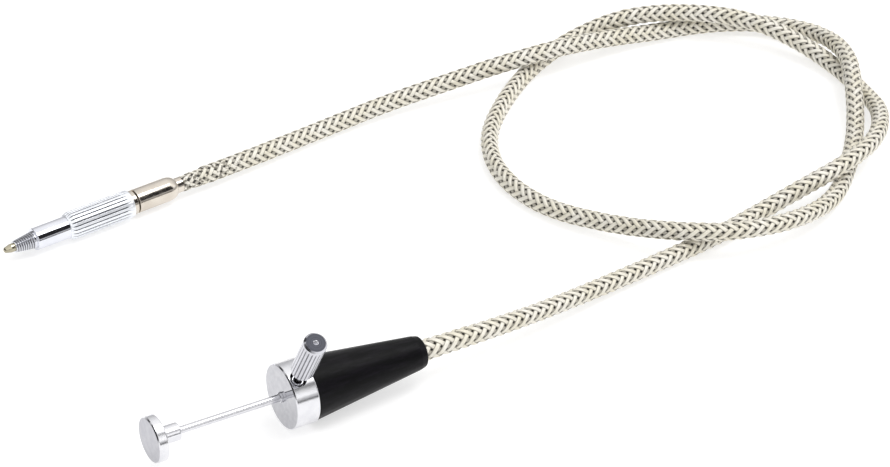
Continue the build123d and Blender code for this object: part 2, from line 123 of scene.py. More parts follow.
# ------------------------------------------------------------------ cable
# The route in metres: x, y and the height of its centre, from the handle to the tip.
ROUTE = [
    (0.0296, 0.0029276, 0.00715), (0.0380, 0.0029276, 0.00715), (0.0510, 0.0041, 0.0061),
    (0.0660, 0.0070, 0.0042), (0.0820, 0.0106, 0.0025), (0.0980, 0.0130, 0.0021),
    (0.1130, 0.0152, 0.0021), (0.1260, 0.0176, 0.0030), (0.1385, 0.0182, 0.0056),
    (0.1505, 0.0198, 0.0070), (0.1618, 0.0254, 0.0066), (0.1702, 0.0365, 0.0046),
    (0.1733, 0.0480, 0.0023), (0.1742, 0.0610, 0.0021), (0.1704, 0.0725, 0.0044),
    (0.1642, 0.0825, 0.0065), (0.1540, 0.0918, 0.0067), (0.1405, 0.0983, 0.0064),
    (0.1270, 0.1002, 0.0036), (0.1135, 0.0960, 0.0021), (0.1008, 0.0870, 0.0021),
    (0.0884, 0.0746, 0.0021), (0.0830, 0.0596, 0.0021), (0.0850, 0.0434, 0.0021),
    (0.0938, 0.0285, 0.0034), (0.1024, 0.0154, 0.0064), (0.1135, 0.0086, 0.0067),
    (0.1280, 0.0076, 0.0054), (0.1425, 0.0138, 0.0024), (0.1536, 0.0246, 0.0021),
    (0.1628, 0.0356, 0.0026), (0.1697, 0.0472, 0.0064), (0.1760, 0.0595, 0.0066),
    (0.1770, 0.0728, 0.0042), (0.1709, 0.0846, 0.0023), (0.1593, 0.0916, 0.0021),
    (0.1460, 0.0944, 0.0021), (0.1320, 0.0950, 0.0042), (0.1185, 0.0934, 0.0066),
    (0.1040, 0.0942, 0.0063), (0.0900, 0.0960, 0.0044), (0.0750, 0.0970, 0.0030),
    (0.0600, 0.0958, 0.0023), (0.0455, 0.0935, 0.0026), (0.0317, 0.0912, 0.00315),
    (0.0190, 0.0899, 0.00315),
]


class TurningAxis:
    """A line that pieces are turned about: stations in mm run along it from its origin."""

    def __init__(self, origin, direction, side):
        self.origin = np.array(origin, float)
        self.along = np.array(direction, float) / np.linalg.norm(direction)
        side = np.array(side, float)
        side -= self.along * side.dot(self.along)
        self.u = side / np.linalg.norm(side)
        self.v = np.cross(self.along, self.u)

    def place(self, station, radius, angle):
        station, radius, angle = (np.asarray(x, float)[..., None] for x in (station, radius, angle))
        around = np.cos(angle) * self.u + np.sin(angle) * self.v
        return (self.origin + station * self.along + radius * around) * MM


tip_direction = np.array(ROUTE[-1]) - np.array(ROUTE[-2])
screw_direction = (0, -math.sin(SCREW_LEAN), math.cos(SCREW_LEAN))
HANDLE = TurningAxis((HEAD_X, AXIS_Y, AXIS_Z), (1, 0, 0), (0, 1, 0))
TIP = TurningAxis(np.array(ROUTE[-1]) / MM, tip_direction, (0, 0, 1))
SCREW = TurningAxis((HEAD_X + SCREW_STATION, AXIS_Y, AXIS_Z), screw_direction, (1, 0, 0))


# ------------------------------------------------------------------ materials
class Nodes:
    """Short calls for a node tree."""

    def __init__(self, tree):
        self.tree = tree

    def new(self, kind, inputs=(), **settings):
        node = self.tree.nodes.new(kind)
        for key, value in settings.items():
            setattr(node, key, value)
        for key, value in dict(inputs).items():
            self.put(value, node.inputs[key])
        return node

    def put(self, value, socket):
        if hasattr(value, "is_output"):
            self.tree.links.new(value, socket)
        else:
            socket.default_value = value

    def math(self, operation, a, b=0.0):
        return self.new("ShaderNodeMath", {0: a, 1: b}, operation=operation).outputs[0]

    def span(self, value, low, high, to_low=0.0, to_high=1.0):
        """A smooth step: to_low where the value is low, to_high where it is high."""
        node = self.new("ShaderNodeMapRange", {0: value, 1: low, 2: high, 3: to_low, 4: to_high},
                        interpolation_type="SMOOTHSTEP")
        return node.outputs[0]

    def noise(self, vector, scale, detail=3.0, rough=0.55):
        inputs = {"Vector": vector, "Scale": scale, "Detail": detail, "Roughness": rough}
        return self.new("ShaderNodeTexNoise", inputs).outputs["Fac"]

    def mix(self, factor, a, b):
        node = self.new("ShaderNodeMix", {0: factor, 6: a, 7: b}, data_type="RGBA")
        return node.outputs[2]

    def joined(self, x, y=0.0):
        return self.new("ShaderNodeCombineXYZ", {0: x, 1: y}).outputs[0]


class Surface(Nodes):
    """A material, with short calls for its shader."""

    def __init__(self, name):
        self.material = bpy.data.materials.new(name)
        self.material.use_nodes = True
        super().__init__(self.material.node_tree)
        self.shader = self.tree.nodes["Principled BSDF"]

    def give(self, name, value):
        """Sets one of the shader's sockets, or links it."""
        self.put(value, self.shader.inputs[name])

    def attribute(self, name):
        return self.new("ShaderNodeAttribute", attribute_name=name).outputs["Fac"]

    def drives(self, name):
        """What is linked to one of the shader's sockets so far."""
        return self.shader.inputs[name].links[0].from_socket

    def bump(self, height, strength, distance):
        node = self.new("ShaderNodeBump", {"Height": height, "Strength": strength, "Distance": distance})
        self.give("Normal", node.outputs[0])

    def place(self):
        return self.new("ShaderNodeTexCoord").outputs["Object"]

    def station_and_radius(self, axis):
        """Distances in mm along a turning axis and out from it."""
        moved = self.new("ShaderNodeVectorMath", {0: self.place(), 1: tuple(axis.origin * MM)},
                         operation="SUBTRACT").outputs[0]
        along = self.new("ShaderNodeVectorMath", {0: moved, 1: tuple(axis.along)},
                         operation="DOT_PRODUCT").outputs["Value"]
        across = self.new("ShaderNodeVectorMath", {0: moved, 1: tuple(axis.along)},
                          operation="CROSS_PRODUCT").outputs[0]
        out = self.new("ShaderNodeVectorMath", {0: across}, operation="LENGTH").outputs["Value"]
        return self.math("MULTIPLY", along, 1000.0), self.math("MULTIPLY", out, 1000.0)

    def satin_face_with_painted_shade(self, axis, start, light, dark, rough):
        """A duller finish on the flat face that lies at a station of the axis: its own roughness, and a
        darker colour that is painted shade.
        """
        station, _ = self.station_and_radius(axis)
        beyond = self.span(station, start + 0.02, start + 0.1)
        patches = self.span(self.noise(self.place(), 700.0, 4.0, 0.6), 0.35, 0.65)
        # The face's darker colour is painted shade.
        face = self.mix(patches, (*dark, 1), (*light, 1))
        self.give("Base Color", self.mix(beyond, face, self.drives("Base Color")))
        other = self.math("MULTIPLY", self.drives("Roughness"), beyond)
        here = self.math("MULTIPLY", self.math("SUBTRACT", 1.0, beyond), rough)
        self.give("Roughness", self.math("ADD", here, other))

    def darken_grooves(self, amount):
        """Painted shade in the bottoms of flutes and threads."""
        deep = self.math("MULTIPLY", self.span(self.attribute("groove"), 0.1, 0.8), amount)
        # The colour of the painted shade in the grooves.
        groove_shade = (0.07, 0.07, 0.075, 1)
        self.give("Base Color", self.mix(deep, self.drives("Base Color"), groove_shade))


def turned_metal(name, axis, light, dark, rough, lines):
    """Metal with the lathe's fine rings: round the centre on faces, round the axis on sides."""
    n = Surface(name)
    station, radius = n.station_and_radius(axis)
    rings = n.noise(n.joined(station, radius), 26.0, 4.0, 0.7)
    patches = n.noise(n.place(), 420.0, 3.0)
    colour = n.mix(n.span(patches, 0.3, 0.7), (*dark, 1), (*light, 1))
    n.give("Base Color", colour)
    n.give("Metallic", 1.0)
    n.give("Roughness", n.span(rings, 0.25, 0.75, rough[0], rough[1]))
    n.bump(rings, lines, 0.00002)
    return n


def plated_metal(name, light, dark, rough, grooves=0.75):
    """Plated metal with faint polishing haze, and painted shade in its grooves."""
    n = Surface(name)
    haze = n.noise(n.place(), 900.0, 4.0)
    broad = n.noise(n.place(), 160.0, 2.0)
    n.give("Base Color", n.mix(n.span(broad, 0.35, 0.65), (*dark, 1), (*light, 1)))
    n.give("Metallic", 1.0)
    n.give("Roughness", n.span(haze, 0.3, 0.7, rough[0], rough[1]))
    n.bump(haze, 0.05, 0.00001)
    n.darken_grooves(grooves)
    return n


def button_material():
    n = turned_metal("button_satin", HANDLE, (0.78, 0.78, 0.8), (0.71, 0.71, 0.74), (0.13, 0.22), 0.08)
    # The front face is coloured darker: painted shade.
    n.satin_face_with_painted_shade(HANDLE, BUTTON_FRONT, (0.49, 0.49, 0.52), (0.44, 0.44, 0.475), 0.3)
    return n


def rod_material():
    return turned_metal("rod_steel", HANDLE, (0.72, 0.72, 0.745), (0.65, 0.65, 0.68), (0.16, 0.26), 0.06)


def chrome_material():
    return plated_metal("chrome", (0.78, 0.79, 0.84), (0.72, 0.73, 0.78), (0.05, 0.11))


def fluted_chrome_material():
    return plated_metal("chrome_fluted", (0.86, 0.88, 0.92), (0.8, 0.82, 0.86), (0.36, 0.46), 0.95)


def nickel_material():
    return plated_metal("nickel", (0.7, 0.645, 0.575), (0.6, 0.545, 0.475), (0.11, 0.19))


def brass_material():
    return plated_metal("brass_bright", (0.56, 0.52, 0.41), (0.38, 0.35, 0.26), (0.12, 0.26))


def head_material():
    """Polished metal with a duller front face in painted shade, and black painted shade inside the lock
    screw's hole.
    """
    n = turned_metal("head_polished", HANDLE, (0.8, 0.8, 0.82), (0.73, 0.73, 0.76), (0.13, 0.22), 0.08)
    n.satin_face_with_painted_shade(HANDLE, 0.0, (0.52, 0.52, 0.545), (0.46, 0.46, 0.49), 0.07)
    height, width = n.station_and_radius(SCREW)
    beside = n.span(width, RECESS_RADIUS - 0.01, RECESS_RADIUS + 0.05)
    outside = n.math("MAXIMUM", beside, n.span(height, 4.0, 3.9))
    # Painted shade: black inside the lock screw's hole and its recess.
    black = (0.03, 0.03, 0.032, 1)
    n.give("Base Color", n.mix(outside, black, n.drives("Base Color")))
    return n


def spring_material():
    return plated_metal("spring_steel", (0.5, 0.51, 0.53), (0.36, 0.37, 0.39), (0.25, 0.4))


def dark_steel_material():
    return plated_metal("dark_steel", (0.3, 0.28, 0.26), (0.2, 0.19, 0.18), (0.3, 0.45))


def thumbscrew_material():
    """Turned metal with painted shade in the flutes, and a dark top round a bright dimple."""
    n = turned_metal("thumbscrew", SCREW, (0.64, 0.64, 0.68), (0.57, 0.57, 0.61), (0.14, 0.26), 0.08)
    n.darken_grooves(0.62)
    station, radius = n.station_and_radius(SCREW)
    ring_marks = n.span(n.noise(n.joined(radius), 9.0, 2.0), 0.35, 0.65)
    # The flat top is coloured dark and is not metallic.
    dark_top_colour = n.mix(ring_marks, (0.02, 0.022, 0.033, 1), (0.075, 0.08, 0.11, 1))
    top = n.span(station, THUMB_TOP - 0.1, THUMB_TOP - 0.04)
    flat_top = n.math("MULTIPLY", top, n.span(radius, DIMPLE_RADIUS, DIMPLE_RADIUS + 0.06))
    n.give("Base Color", n.mix(flat_top, n.drives("Base Color"), dark_top_colour))
    n.give("Metallic", n.math("SUBTRACT", 1.0, flat_top))
    dark_top_roughness = n.math("MULTIPLY", flat_top, 0.55)
    n.give("Roughness", n.math("MAXIMUM", n.drives("Roughness"), dark_top_roughness))
    return n


def sleeve_material():
    """Black with fine grain and faint streaks that run lengthwise."""
    n = Surface("sleeve_black")
    grain = n.noise(n.place(), 2600.0, 4.0, 0.6)
    stretched = n.new("ShaderNodeVectorMath", {0: n.place(), 1: (0.12, 1.0, 1.0)},
                      operation="MULTIPLY").outputs[0]
    streaks = n.noise(stretched, 900.0, 4.0, 0.65)
    dark, light = (0.0012, 0.0012, 0.0016, 1), (0.007, 0.006, 0.0085, 1)
    n.give("Base Color", n.mix(n.span(streaks, 0.4, 0.7), dark, light))
    n.give("Roughness", n.span(streaks, 0.35, 0.7, 0.44, 0.3))
    n.give("Specular IOR Level", 0.11)
    n.bump(grain, 0.25, 0.00004)
    return n


FILAMENTS = 6  # ridges across a strand


def braid_material():
    """Cream strands: filaments along them, painted shade between the filaments, at their edges and dips,
    specks near the tip.
    """
    n = Surface("braid_strands")
    uv = n.new("ShaderNodeUVMap", uv_map="strand").outputs[0]
    parts = n.new("ShaderNodeSeparateXYZ", {0: uv})
    along, across = parts.outputs[0], parts.outputs[1]
    wander = n.noise(n.joined(n.math("MULTIPLY", along, 0.35)), 1.0, 2.0)
    shifted = n.math("ADD", across, n.math("MULTIPLY", wander, 0.12))
    filament = n.math("SINE", n.math("MULTIPLY", shifted, 2 * math.pi * FILAMENTS))
    fuzz = n.noise(n.joined(n.math("MULTIPLY", along, 0.8), n.math("MULTIPLY", across, 24.0)), 1.6, 3.0)
    height = n.math("ADD", n.math("MULTIPLY", filament, 0.5), fuzz)
    patch = n.noise(n.place(), 230.0, 3.0)
    pale = n.mix(n.span(patch, 0.3, 0.7), (0.86, 0.81, 0.67, 1), (0.94, 0.905, 0.82, 1))
    # Painted shade between the filaments, at the strands' edges and where they dip under others.
    lined = n.math("MULTIPLY", n.span(filament, -1.0, 0.1, 1.0, 0.0), 0.3)
    edge = n.math("MULTIPLY", n.span(n.math("ABSOLUTE", across), 0.24, 0.5), 0.85)
    under = n.math("MULTIPLY", n.span(n.attribute("sunk"), 0.35, 1.0), 0.6)
    shade = n.math("MAXIMUM", n.math("MAXIMUM", lined, edge), under)
    specks = n.span(n.noise(n.place(), 1250.0, 2.0), 0.53, 0.6)
    worn = n.math("MULTIPLY", n.math("MULTIPLY", specks, n.attribute("untidy")), 0.95)
    shade = n.math("MAXIMUM", shade, worn)
    n.give("Base Color", n.mix(shade, pale, (0.15, 0.135, 0.105, 1)))
    n.give("Metallic", 0.15)
    n.give("Roughness", n.span(fuzz, 0.3, 0.7, 0.3, 0.48))
    n.bump(height, 0.45, 0.00006)
    return n


def core_material():
    n = Surface("core_dark")
    weave = n.noise(n.place(), 1500.0, 3.0)
    n.give("Base Color", n.mix(weave, (0.012, 0.011, 0.01, 1), (0.05, 0.046, 0.04, 1)))
    n.give("Roughness", n.span(weave, 0.3, 0.7, 0.5, 0.7))
    return n


MATERIALS = {
    "button": button_material().material,
    "rod": rod_material().material,
    "chrome": chrome_material().material,
    "chrome_fluted": fluted_chrome_material().material,
    "nickel": nickel_material().material,
    "brass": brass_material().material,
    "head": head_material().material,
    "spring": spring_material().material,
    "dark_steel": dark_steel_material().material,
    "thumbscrew": thumbscrew_material().material,
    "sleeve": sleeve_material().material,
    "braid": braid_material().material,
    "core": core_material().material,
}


# ------------------------------------------------------------------ building pieces
def add_piece(name, vertices, faces, material, body, nodes=(), normals=None):
    mesh = bpy.data.meshes.new(name)
    mesh.from_pydata(vertices.tolist(), [], faces)
    mesh.polygons.foreach_set("use_smooth", [True] * len(mesh.polygons))
    mesh.materials.append(MATERIALS[material])
    mesh.update()
    if normals is not None:
        mesh.normals_split_custom_set_from_vertices(normals.tolist())
    piece = bpy.data.objects.new(name, mesh)
    SCENE.collection.objects.link(piece)
    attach(piece, body)
    if nodes:
        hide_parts(*nodes)
    return piece


def left_of(direction):
    return np.array((-direction[1], direction[0])) / np.linalg.norm(direction)


def rounded(outline, steps=5):
    """Stations, radii and normals along an outline. A corner's third number is its rounding."""
    points = [np.array(p[:2], float) for p in outline]
    found = [(points[0], left_of(points[1] - points[0]))]
    for k in range(1, len(points) - 1):
        into, away = points[k] - points[k - 1], points[k + 1] - points[k]
        before, after = left_of(into), left_of(away)
        bend = math.atan2(into[0] * away[1] - into[1] * away[0], into.dot(away))
        wanted = outline[k][2] if len(outline[k]) > 2 else 0.0
        if not wanted and abs(bend) < 0.5:
            middle = before + after
            found.append((points[k], middle / np.linalg.norm(middle)))
            continue
        if not wanted:
            found += [(points[k], before), (points[k], after)]
            continue
        reach = wanted * math.tan(abs(bend) / 2)
        reach = min(reach, 0.48 * np.linalg.norm(into), 0.48 * np.linalg.norm(away))
        size = reach / math.tan(abs(bend) / 2) * math.copysign(1, bend)
        start = points[k] - into / np.linalg.norm(into) * reach
        centre = start + before * size
        for m in range(steps + 1):
            part = bend * m / steps
            normal = np.array((before[0] * math.cos(part) - before[1] * math.sin(part),
                               before[0] * math.sin(part) + before[1] * math.cos(part)))
            found.append((centre - normal * size, normal))
    found.append((points[-1], left_of(points[-1] - points[-2])))
    return found


def refined(found, step):
    """The same outline with points no further apart than step."""
    out = [found[0]]
    for (p, n), (q, m) in zip(found, found[1:]):
        parts = max(1, math.ceil(np.linalg.norm(q - p) / step))
        for k in range(1, parts + 1):
            w = k / parts
            normal = n * (1 - w) + m * w
            out.append((p * (1 - w) + q * w, normal / np.linalg.norm(normal)))
    return out


def faces_between_rings(points, around):
    """Faces that join the ring at each outline point to the next: triangles at the axis."""
    faces = []
    for i, (p, q) in enumerate(zip(points, points[1:])):
        if np.linalg.norm(q - p) < 1e-6:
            continue
        for j in range(around):
            k = (j + 1) % around
            a, b, c, d = i * around + j, i * around + k, (i + 1) * around + k, (i + 1) * around + j
            if p[1] < 1e-6:
                faces.append((a, c, d))
            elif q[1] < 1e-6:
                faces.append((a, b, d))
            else:
                faces.append((a, b, c, d))
    return faces


def weld(piece):
    """Joins points that lie in one place, as a boolean cut needs."""
    mesh = bmesh.new()
    mesh.from_mesh(piece.data)
    bmesh.ops.remove_doubles(mesh, verts=mesh.verts, dist=1e-6)
    mesh.to_mesh(piece.data)
    mesh.free()


def turn(name, axis, outline, material, body, nodes=(), around=96, relief=None, step=None,
         welded=False):
    """A turned piece. relief(stations, angles) cuts flutes or a thread into its radius."""
    found = rounded(outline)
    if step:
        found = refined(found, step)
    station = np.array([p[0] for p, _ in found])[:, None]
    radius = np.array([p[1] for p, _ in found])[:, None]
    lengthwise = np.array([n[0] for _, n in found])[:, None]
    outward = np.array([n[1] for _, n in found])[:, None]
    angle = np.linspace(0, 2 * math.pi, around, endpoint=False)[None, :]
    station, angle = np.broadcast_arrays(station, angle)
    radius = radius + np.zeros_like(angle)
    slope_round = slope_along = np.zeros_like(angle)
    groove = np.zeros_like(angle)
    if relief:
        groove = relief(station, angle)
        radius = radius + groove
        tiny = 1e-3
        slope_round = (relief(station, angle + tiny) - relief(station, angle - tiny)) / (2 * tiny)
        slope_round = slope_round / np.maximum(radius, 0.1)
        slope_along = (relief(station + tiny, angle) - relief(station - tiny, angle)) / (2 * tiny)
    vertices = axis.place(station, radius, angle).reshape(-1, 3)
    out = np.cos(angle)[..., None] * axis.u + np.sin(angle)[..., None] * axis.v
    tangent = -np.sin(angle)[..., None] * axis.u + np.cos(angle)[..., None] * axis.v
    normals = (lengthwise - outward * slope_along)[..., None] * axis.along
    normals = normals + outward[..., None] * (out - slope_round[..., None] * tangent)
    normals = (normals / np.linalg.norm(normals, axis=2)[..., None]).reshape(-1, 3)
    faces = faces_between_rings([point for point, _ in found], around)
    piece = add_piece(name, vertices, faces, material, body, nodes, None if welded else normals)
    if relief:
        deep = piece.data.attributes.new("groove", "FLOAT", "POINT")
        deep.data.foreach_set("value", (groove / groove.min()).ravel())
    if welded:
        weld(piece)
    return piece


def drill(piece, axis, outline):
    """Cuts a turned hole into a welded piece and keeps its flat faces flat."""
    cutter = turn("cutter", axis, outline, "rod", "handle", around=72, welded=True)
    cut = piece.modifiers.new("cut", "BOOLEAN")
    cut.operation = "DIFFERENCE"
    cut.solver = "EXACT"
    cut.object = cutter
    bpy.context.view_layer.update()
    mesh = bpy.data.meshes.new_from_object(piece.evaluated_get(bpy.context.evaluated_depsgraph_get()))
    piece.modifiers.clear()
    piece.data = mesh
    bpy.data.objects.remove(cutter)
    mesh.set_sharp_from_angle(angle=math.radians(32))
    flat = piece.modifiers.new("flat", "WEIGHTED_NORMAL")
    flat.keep_sharp = True
    flat.weight = 100


def flutes(count, depth, share, start, end, runout):
    """Straight V grooves with rounded edges, each taking a share of its pitch."""
    def cut(station, angle):
        phase = np.abs(((angle * count / (2 * math.pi) + 0.5) % 1.0) - 0.5) / (share / 2)
        groove = np.where(phase < 1, 0.5 + 0.5 * np.cos(math.pi * np.minimum(phase, 1)), 0)
        ends = np.clip((station - start) / runout, 0, 1) * np.clip((end - station) / runout, 0, 1)
        return -depth * groove * ends
    return cut


def thread(pitch, depth, start, end):
    """A helical thread's groove between two stations, running out at both."""
    def cut(station, angle):
        phase = (station / pitch - angle / (2 * math.pi)) % 1.0
        groove = 0.5 + 0.5 * np.cos(2 * math.pi * phase)
        ends = np.clip((station - start) / (pitch * 0.5), 0, 1) * np.clip((end - station) / 0.1, 0, 1)
        return -depth * groove ** 0.8 * ends
    return cut


# ------------------------------------------------------------------ cable
def route_line():
    """Points along the route's NURBS spline, with their distances in metres."""
    curve = bpy.data.curves.new("route", "CURVE")
    curve.dimensions = "3D"
    spline = curve.splines.new("NURBS")
    spline.points.add(len(ROUTE) - 1)
    for point, place in zip(spline.points, ROUTE):
        point.co = (*place, 1.0)
    spline.order_u = 3
    spline.use_endpoint_u = True
    spline.resolution_u = 24
    holder = bpy.data.objects.new("route", curve)
    SCENE.collection.objects.link(holder)
    bpy.context.view_layer.update()
    mesh = bpy.data.meshes.new_from_object(holder)
    line = np.array([v.co for v in mesh.vertices])
    bpy.data.objects.remove(holder)
    bpy.data.meshes.remove(mesh)
    gaps = np.linalg.norm(np.diff(line, axis=0), axis=1)
    line = line[np.concatenate(([True], gaps > 1e-7))]
    distance = np.concatenate(([0.0], np.cumsum(np.linalg.norm(np.diff(line, axis=0), axis=1))))
    return line, distance


LINE, DISTANCE = route_line()
CABLE_LENGTH = float(DISTANCE[-1])


def carried_frames(line):
    """Two directions across the line at each of its points, carried along it without twist."""
    tangent = np.gradient(line, axis=0)
    tangent /= np.linalg.norm(tangent, axis=1)[:, None]
    side = np.zeros_like(line)
    current = np.array((0.0, 0.0, 1.0))
    for k, t in enumerate(tangent):
        current = current - t * current.dot(t)
        current /= np.linalg.norm(current)
        side[k] = current
    return side, np.cross(tangent, side)


SIDE, LIFT = carried_frames(LINE)


def on_cable(distance, radius, angle):
    """Points at a distance along the cable (m), a radius (m) and an angle round it."""
    shape = np.shape(distance)
    flat = np.ravel(distance)

    def read(values):
        return np.stack([np.interp(flat, DISTANCE, values[:, k]) for k in range(3)], axis=1)

    centre, side, lift = read(LINE), read(SIDE), read(LIFT)
    side /= np.linalg.norm(side, axis=1)[:, None]
    lift /= np.linalg.norm(lift, axis=1)[:, None]
    r, a = np.ravel(radius)[:, None], np.ravel(angle)[:, None]
    return (centre + r * (np.cos(a) * side + np.sin(a) * lift)).reshape(*shape, 3)


CARRIERS = 6              # strands that wind each way
RIB = 2.31 * MM           # distance along the cable between two crossings in line
LAY = CARRIERS * RIB      # length of one turn of a strand
BRAID_RADIUS = 1.87 * MM  # middle of the braid's thickness
CORE_RADIUS = 1.62 * MM
STRAND_WIDTH = 1.04 * MM
LIFT_HEIGHT = 0.12 * MM
STRAND_STEP = 0.45 * MM
SWAY_PERIODS, SWAY = (7.3, 13.1, 29.0), 0.022
RUCK_PERIODS, RUCK = (2.9, 5.7, 11.0), 0.012
FLARE_LENGTH, FLARE = 34 * MM, 0.16
CRIMP_LENGTH, CRIMP = 9 * MM, -0.13
UNTIDY_LENGTH = 22 * MM
TEXTURE_STRETCH = 37.0    # mm along the texture from one strand to the next, so that they differ
# Across a strand: place as a share of its width, and height above its middle surface.
STRAND_SECTION = [(-0.5, -0.17 * MM), (-0.46, -0.06 * MM), (-0.26, 0.045 * MM), (0.0, 0.1 * MM),
                  (0.26, 0.045 * MM), (0.46, -0.06 * MM), (0.5, -0.17 * MM)]


def swelling(distance):
    """How much wider than usual the braid is: flared at the handle, pinched at the tip."""
    near_handle = np.clip(1 - distance / FLARE_LENGTH, 0, 1)
    near_tip = np.clip(1 - (CABLE_LENGTH - distance) / CRIMP_LENGTH, 0, 1)
    return 1 + FLARE * near_handle ** 1.3 + CRIMP * (near_tip * near_tip * (3 - 2 * near_tip))


def ripple(rng, along, periods):
    """A wandering sum of sine waves along the cable. The periods are in mm."""
    return sum(
        rng.uniform(0.3, 1.0) * np.sin(2 * math.pi * along / (period * MM) + rng.uniform(0, 6.28))
        for period in periods
    )


def make_braid():
    """Twelve flat strands that wind both ways, each over two and under two."""
    rng = np.random.default_rng(7)
    steps = int(CABLE_LENGTH / STRAND_STEP)
    along = np.linspace(0, CABLE_LENGTH, steps)[:, None]
    share = np.array([s for s, _ in STRAND_SECTION])[None, :]
    crown = np.array([h for _, h in STRAND_SECTION])[None, :]
    lean = math.atan2(2 * math.pi * BRAID_RADIUS, LAY)
    wide = len(STRAND_SECTION)
    vertices, faces, uvs, sunk, untidy = [], [], [], [], []
    for way in (1, -1):
        for strand in range(CARRIERS):
            sway = ripple(rng, along, SWAY_PERIODS) * SWAY * MM
            ruck = ripple(rng, along, RUCK_PERIODS) * RUCK * MM
            # The strands lie less evenly where the ferrule grips them.
            near_tip = np.clip(1 - (CABLE_LENGTH - along) / (1.3 * CRIMP_LENGTH), 0, 1)
            sway = sway * (1 + 8 * near_tip)
            ruck = ruck * (1 + 7 * near_tip)
            # A strand meets the ones that wind the other way twice a rib: over two, then under two.
            crossing = 2 * along / RIB
            if way > 0:
                phase = crossing + 2 * strand - 0.5
            else:
                phase = crossing - 2 * strand + 2.5
            wave = np.clip(1.35 * np.cos(math.pi * phase / 2), -1, 1)
            swell = swelling(along)
            lateral = share * STRAND_WIDTH * (0.55 + 0.45 * swell) + sway
            distance = np.clip(along - way * lateral * math.sin(lean), 0, CABLE_LENGTH)
            angle = way * 2 * math.pi * along / LAY + 2 * math.pi * strand / CARRIERS
            angle = angle + lateral * math.cos(lean) / BRAID_RADIUS
            radius = (BRAID_RADIUS + wave * LIFT_HEIGHT + ruck) * swell + crown
            first = len(vertices) * steps * wide
            vertices.append(on_cable(distance, radius, angle).reshape(-1, 3))
            i = np.arange(steps - 1)[:, None] * wide + np.arange(wide - 1)[None, :] + first
            faces.append(np.stack([i, i + 1, i + wide + 1, i + wide], axis=-1).reshape(-1, 4))
            own_stretch = TEXTURE_STRETCH * (strand + CARRIERS * (way > 0))
            length = along / MM / math.cos(lean) + own_stretch
            uvs.append(np.stack(np.broadcast_arrays(length, share), axis=-1).reshape(-1, 2))
            worn = np.clip(1.6 * (1 - (CABLE_LENGTH - along) / UNTIDY_LENGTH), 0, 1)
            untidy.append(np.broadcast_to(worn, radius.shape).ravel())
            sunk.append(np.broadcast_to(0.5 - 0.5 * np.cos(math.pi * phase / 2), radius.shape).ravel())
    vertices = np.concatenate(vertices)
    faces = np.concatenate(faces)
    uvs = np.concatenate(uvs)
    braid = add_piece("cable_braiding", vertices, faces.tolist(), "braid", "handle",
                      ["cable_braid"])
    layer = braid.data.uv_layers.new(name="strand")
    layer.uv.foreach_set("vector", uvs[faces.ravel()].ravel())
    for name, values in (("sunk", sunk), ("untidy", untidy)):
        attribute = braid.data.attributes.new(name, "FLOAT", "POINT")
        attribute.data.foreach_set("value", np.concatenate(values))
    return braid


def make_core():
    """The dark liner that shows through the gaps of the braid."""
    sides = 18
    along = np.linspace(0, CABLE_LENGTH, int(CABLE_LENGTH / (1.2 * MM)))[:, None]
    angle = np.linspace(0, 2 * math.pi, sides, endpoint=False)[None, :]
    along, angle = np.broadcast_arrays(along, angle)
    radius = CORE_RADIUS * (1 + 0.8 * (swelling(along) - 1))
    vertices = on_cable(along, radius, angle).reshape(-1, 3)
    i = np.arange(along.shape[0] - 1)[:, None] * sides
    j, k = np.arange(sides)[None, :], (np.arange(sides)[None, :] + 1) % sides
    faces = np.stack([i + j, i + k, i + sides + k, i + sides + j], axis=-1).reshape(-1, 4)
    return add_piece("cable_core", vertices, faces.tolist(), "core", "handle",
                     ["cable_liner"])


braid = make_braid()
core = make_core()

# ------------------------------------------------------------------ plunger
turn("button", HANDLE, [
    (BUTTON_FRONT, 0), (BUTTON_FRONT, BUTTON_RADIUS - FRONT_CHAMFER, 0.06),
    (BUTTON_FRONT + FRONT_CHAMFER, BUTTON_RADIUS, 0.06), (BUTTON_BACK, BUTTON_RADIUS, 0.32),
    (BUTTON_BACK, HUB_RADIUS, 0.15), (HUB_END, HUB_RADIUS, 0.3), (HUB_END, 0.7),
], "button", "plunger", ["finger_button"])
turn("rod", HANDLE, [
    (HUB_END - 1.2, ROD_RADIUS), (ROD_END, ROD_RADIUS, 0.1), (ROD_END, 0),
], "rod", "plunger", ["plunger_rod"], around=48)

# ------------------------------------------------------------------ handle
head = turn("head", HANDLE, [
    (BUSH_END, BUSH_RADIUS), (0, BUSH_RADIUS, 0.05), (0, HEAD_RADIUS - FRONT_CHAMFER, 0.06),
    (FRONT_CHAMFER, HEAD_RADIUS, 0.06), (HEAD_THICKNESS, HEAD_RADIUS, 0.28),
    (HEAD_THICKNESS, SPIGOT_RADIUS), (SPIGOT_END, SPIGOT_RADIUS, 0.1), (SPIGOT_END, TUBE_RADIUS),
    (BUSH_END, TUBE_RADIUS), (BUSH_END, BUSH_RADIUS),
], "head", "handle", ["head_flange"], around=160, welded=True)
drill(head, SCREW, [
    (HOLE_START, 0), (HOLE_START, HOLE_RADIUS), (RECESS_START, HOLE_RADIUS),
    (RECESS_START, RECESS_RADIUS), (HOLE_END, RECESS_RADIUS), (HOLE_END, 0),
])
turn("sleeve", HANDLE, [
    (HEAD_THICKNESS, 4.3), (HEAD_THICKNESS, 6.9, 0.35), (31.4, 3.72, 1.6), (32.75, 3.37, 0.5),
    (SLEEVE_END, 2.75, 0.25), (32.2, 2.4),
], "sleeve", "handle", ["grip_sleeve"], around=128)


